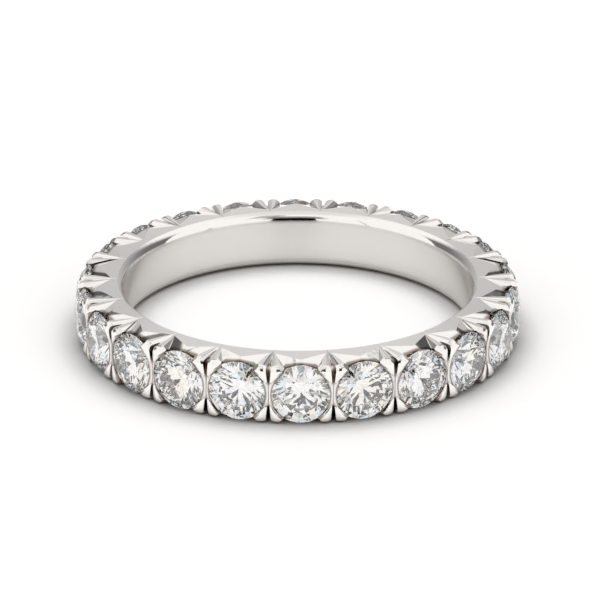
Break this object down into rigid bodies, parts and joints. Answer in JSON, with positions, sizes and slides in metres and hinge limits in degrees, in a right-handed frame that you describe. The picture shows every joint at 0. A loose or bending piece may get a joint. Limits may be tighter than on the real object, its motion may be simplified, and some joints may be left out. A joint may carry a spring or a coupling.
{
  "type": "eternity ring",
  "caption": "Full eternity ring: a cast white metal band set all the way round with one row of round brilliant cut stones, each held by claws cut from the band's edges.",
  "frame": {"origin": "centre of the finger hole, on the plane that the ring lies on", "axes": "+Z along the finger hole, square to the face that the ring lies on; stone_01 is at -Y, and the stones are numbered towards +X"},
  "size_m": [0.0214, 0.0214, 0.0029],
  "materials": {
    "white_gold": "polished, with a fine satin side face",
    "diamond": "polished facets, clear and colourless"
  },
  "bodies": {
    "root": {"band": "white_gold", "stone_01": "diamond", "stone_02": "diamond", "stone_03": "diamond", "stone_04": "diamond", "stone_05": "diamond", "stone_06": "diamond", "stone_07": "diamond", "stone_08": "diamond", "stone_09": "diamond", "stone_10": "diamond", "stone_11": "diamond", "stone_12": "diamond", "stone_13": "diamond", "stone_14": "diamond", "stone_15": "diamond", "stone_16": "diamond", "stone_17": "diamond", "stone_18": "diamond", "stone_19": "diamond", "stone_20": "diamond", "stone_21": "diamond", "stone_22": "diamond"}
  },
  "joints": []
}
